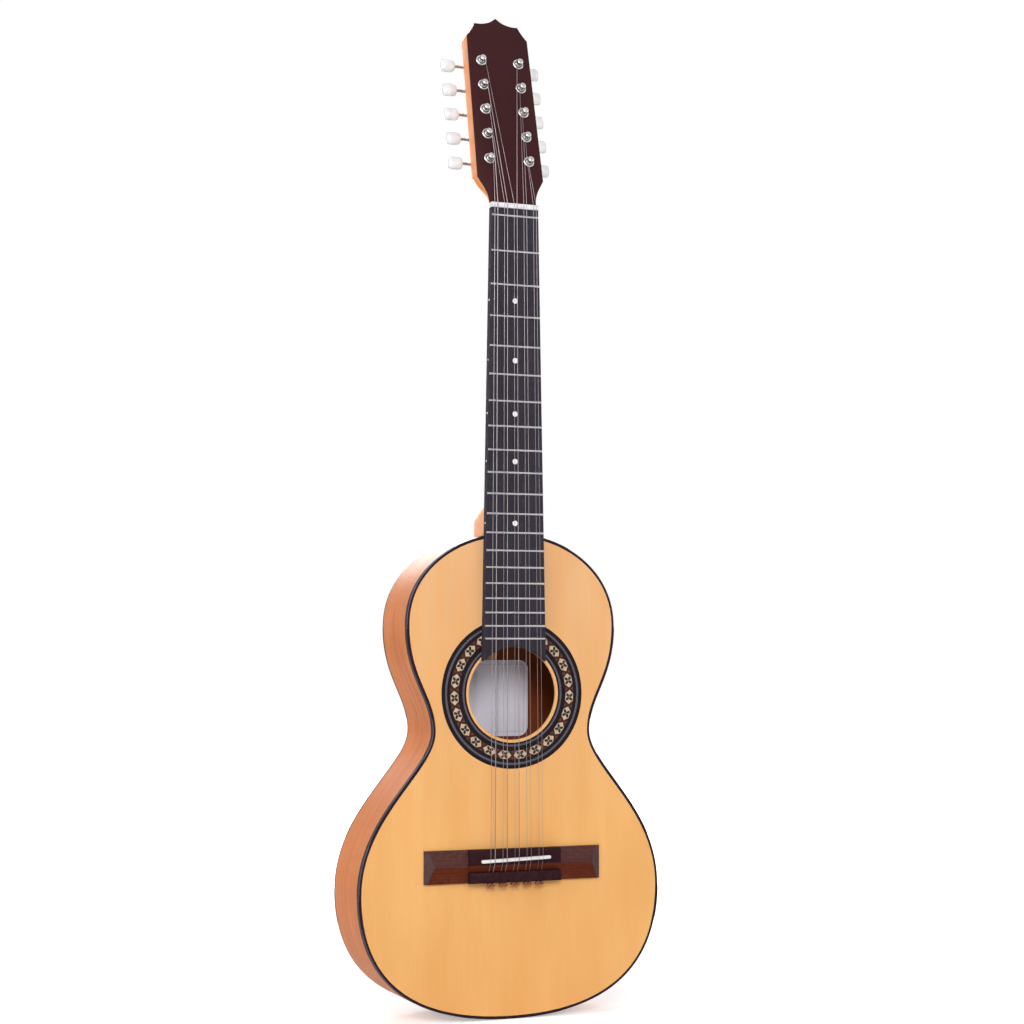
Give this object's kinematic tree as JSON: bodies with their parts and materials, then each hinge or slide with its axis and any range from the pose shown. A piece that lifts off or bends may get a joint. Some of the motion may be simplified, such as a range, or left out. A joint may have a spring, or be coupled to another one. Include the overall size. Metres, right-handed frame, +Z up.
{
  "type": "viola caipira",
  "caption": "Guitar-like instrument with double courses of steel strings, a waisted body with a flat back, a round sound hole, a leaning headstock and open worm-gear tuners.",
  "frame": {"origin": "on the soundboard's plane, in the middle of the neck, under the zero fret; the neck sits here between the arms of a wall hanger", "axes": "+Z up the neck towards the headstock, +Y from the soundboard to the back, +X towards the treble strings"},
  "size_m": [0.293, 0.0898, 0.9286],
  "materials": {
    "spruce": "satin lacquer",
    "side_wood": "gloss lacquer",
    "neck_wood": "satin lacquer",
    "inner_wood": "bare",
    "dark_wood": "oiled",
    "bridge_wood": "oiled",
    "binding": "gloss",
    "mosaic": "lacquered",
    "bone": "satin",
    "paper": "matte paper",
    "pearl": "pearl",
    "steel": "drawn wire",
    "plating": "nickel plating"
  },
  "bodies": {
    "viola": {"soundboard": "spruce", "rosette": "mosaic", "top_binding": "binding", "back_panel": "side_wood", "rib_bass": "side_wood", "rib_treble": "side_wood", "neck_block": "inner_wood", "tail_block": "inner_wood", "soundboard_braces": "inner_wood", "back_braces": "inner_wood", "label": "paper", "neck": "neck_wood", "headstock_veneer": "dark_wood", "fretboard": "dark_wood", "nut": "bone", "bridge": "bridge_wood", "saddle": "bone", "tuner_plate_bass": "plating", "tuner_plate_treble": "plating", "string_1": "steel", "string_2": "steel", "string_3": "steel", "string_4": "steel", "string_5": "steel", "string_6": "steel", "string_7": "steel", "string_8": "steel", "string_9": "steel", "string_10": "steel"},
    "key_bass_1": {"worm_shaft_bass_1": "plating", "tuner_button_bass_1": "pearl"},
    "post_bass_1": {"tuner_post_bass_1": "plating"},
    "key_bass_2": {"worm_shaft_bass_2": "plating", "tuner_button_bass_2": "pearl"},
    "post_bass_2": {"tuner_post_bass_2": "plating"},
    "key_bass_3": {"worm_shaft_bass_3": "plating", "tuner_button_bass_3": "pearl"},
    "post_bass_3": {"tuner_post_bass_3": "plating"},
    "key_bass_4": {"worm_shaft_bass_4": "plating", "tuner_button_bass_4": "pearl"},
    "post_bass_4": {"tuner_post_bass_4": "plating"},
    "key_bass_5": {"worm_shaft_bass_5": "plating", "tuner_button_bass_5": "pearl"},
    "post_bass_5": {"tuner_post_bass_5": "plating"},
    "key_treble_1": {"worm_shaft_treble_1": "plating", "tuner_button_treble_1": "pearl"},
    "post_treble_1": {"tuner_post_treble_1": "plating"},
    "key_treble_2": {"worm_shaft_treble_2": "plating", "tuner_button_treble_2": "pearl"},
    "post_treble_2": {"tuner_post_treble_2": "plating"},
    "key_treble_3": {"worm_shaft_treble_3": "plating", "tuner_button_treble_3": "pearl"},
    "post_treble_3": {"tuner_post_treble_3": "plating"},
    "key_treble_4": {"worm_shaft_treble_4": "plating", "tuner_button_treble_4": "pearl"},
    "post_treble_4": {"tuner_post_treble_4": "plating"},
    "key_treble_5": {"worm_shaft_treble_5": "plating", "tuner_button_treble_5": "pearl"},
    "post_treble_5": {"tuner_post_treble_5": "plating"}
  },
  "joints": [
    {"name": "key_bass_1_turn", "type": "hinge", "parent": "viola", "child": "key_bass_1", "pos_m": [-0.01944, 0.03563, 0.05444], "axis": [-0.9999, 0.0025, 0.0102], "continuous": true},
    {"name": "post_bass_1_turn", "type": "hinge", "parent": "viola", "child": "post_bass_1", "pos_m": [-0.0195, 0.01055, 0.0543], "axis": [0, -0.9703, 0.2419], "continuous": true},
    {"name": "key_bass_2_turn", "type": "hinge", "parent": "viola", "child": "key_bass_2", "pos_m": [-0.01917, 0.04169, 0.07875], "axis": [-0.9999, 0.0025, 0.0102], "continuous": true},
    {"name": "post_bass_2_turn", "type": "hinge", "parent": "viola", "child": "post_bass_2", "pos_m": [-0.01924, 0.01661, 0.07861], "axis": [0, -0.9703, 0.2419], "continuous": true},
    {"name": "key_bass_3_turn", "type": "hinge", "parent": "viola", "child": "key_bass_3", "pos_m": [-0.01891, 0.04775, 0.10305], "axis": [-0.9999, 0.0025, 0.0102], "continuous": true},
    {"name": "post_bass_3_turn", "type": "hinge", "parent": "viola", "child": "post_bass_3", "pos_m": [-0.01898, 0.02267, 0.10291], "axis": [0, -0.9703, 0.2419], "continuous": true},
    {"name": "key_bass_4_turn", "type": "hinge", "parent": "viola", "child": "key_bass_4", "pos_m": [-0.01865, 0.05381, 0.12736], "axis": [-0.9999, 0.0025, 0.0102], "continuous": true},
    {"name": "post_bass_4_turn", "type": "hinge", "parent": "viola", "child": "post_bass_4", "pos_m": [-0.01871, 0.02873, 0.12722], "axis": [0, -0.9703, 0.2419], "continuous": true},
    {"name": "key_bass_5_turn", "type": "hinge", "parent": "viola", "child": "key_bass_5", "pos_m": [-0.01839, 0.05987, 0.15166], "axis": [-0.9999, 0.0025, 0.0102], "continuous": true},
    {"name": "post_bass_5_turn", "type": "hinge", "parent": "viola", "child": "post_bass_5", "pos_m": [-0.01845, 0.03479, 0.15152], "axis": [0, -0.9703, 0.2419], "continuous": true},
    {"name": "key_treble_1_turn", "type": "hinge", "parent": "viola", "child": "key_treble_1", "pos_m": [0.01944, 0.03563, 0.05444], "axis": [0.9999, 0.0025, 0.0102], "continuous": true},
    {"name": "post_treble_1_turn", "type": "hinge", "parent": "viola", "child": "post_treble_1", "pos_m": [0.0195, 0.01055, 0.0543], "axis": [0, -0.9703, 0.2419], "continuous": true},
    {"name": "key_treble_2_turn", "type": "hinge", "parent": "viola", "child": "key_treble_2", "pos_m": [0.01917, 0.04169, 0.07875], "axis": [0.9999, 0.0025, 0.0102], "continuous": true},
    {"name": "post_treble_2_turn", "type": "hinge", "parent": "viola", "child": "post_treble_2", "pos_m": [0.01924, 0.01661, 0.07861], "axis": [0, -0.9703, 0.2419], "continuous": true},
    {"name": "key_treble_3_turn", "type": "hinge", "parent": "viola", "child": "key_treble_3", "pos_m": [0.01891, 0.04775, 0.10305], "axis": [0.9999, 0.0025, 0.0102], "continuous": true},
    {"name": "post_treble_3_turn", "type": "hinge", "parent": "viola", "child": "post_treble_3", "pos_m": [0.01898, 0.02267, 0.10291], "axis": [0, -0.9703, 0.2419], "continuous": true},
    {"name": "key_treble_4_turn", "type": "hinge", "parent": "viola", "child": "key_treble_4", "pos_m": [0.01865, 0.05381, 0.12736], "axis": [0.9999, 0.0025, 0.0102], "continuous": true},
    {"name": "post_treble_4_turn", "type": "hinge", "parent": "viola", "child": "post_treble_4", "pos_m": [0.01871, 0.02873, 0.12722], "axis": [0, -0.9703, 0.2419], "continuous": true},
    {"name": "key_treble_5_turn", "type": "hinge", "parent": "viola", "child": "key_treble_5", "pos_m": [0.01839, 0.05987, 0.15166], "axis": [0.9999, 0.0025, 0.0102], "continuous": true},
    {"name": "post_treble_5_turn", "type": "hinge", "parent": "viola", "child": "post_treble_5", "pos_m": [0.01845, 0.03479, 0.15152], "axis": [0, -0.9703, 0.2419], "continuous": true}
  ],
  "couplings": [
    {"joint": "post_bass_1_turn", "follows": "key_bass_1_turn", "ratio": 0.071429},
    {"joint": "post_bass_2_turn", "follows": "key_bass_2_turn", "ratio": 0.071429},
    {"joint": "post_bass_3_turn", "follows": "key_bass_3_turn", "ratio": 0.071429},
    {"joint": "post_bass_4_turn", "follows": "key_bass_4_turn", "ratio": 0.071429},
    {"joint": "post_bass_5_turn", "follows": "key_bass_5_turn", "ratio": 0.071429},
    {"joint": "post_treble_1_turn", "follows": "key_treble_1_turn", "ratio": 0.071429},
    {"joint": "post_treble_2_turn", "follows": "key_treble_2_turn", "ratio": 0.071429},
    {"joint": "post_treble_3_turn", "follows": "key_treble_3_turn", "ratio": 0.071429},
    {"joint": "post_treble_4_turn", "follows": "key_treble_4_turn", "ratio": 0.071429},
    {"joint": "post_treble_5_turn", "follows": "key_treble_5_turn", "ratio": 0.071429}
  ]
}
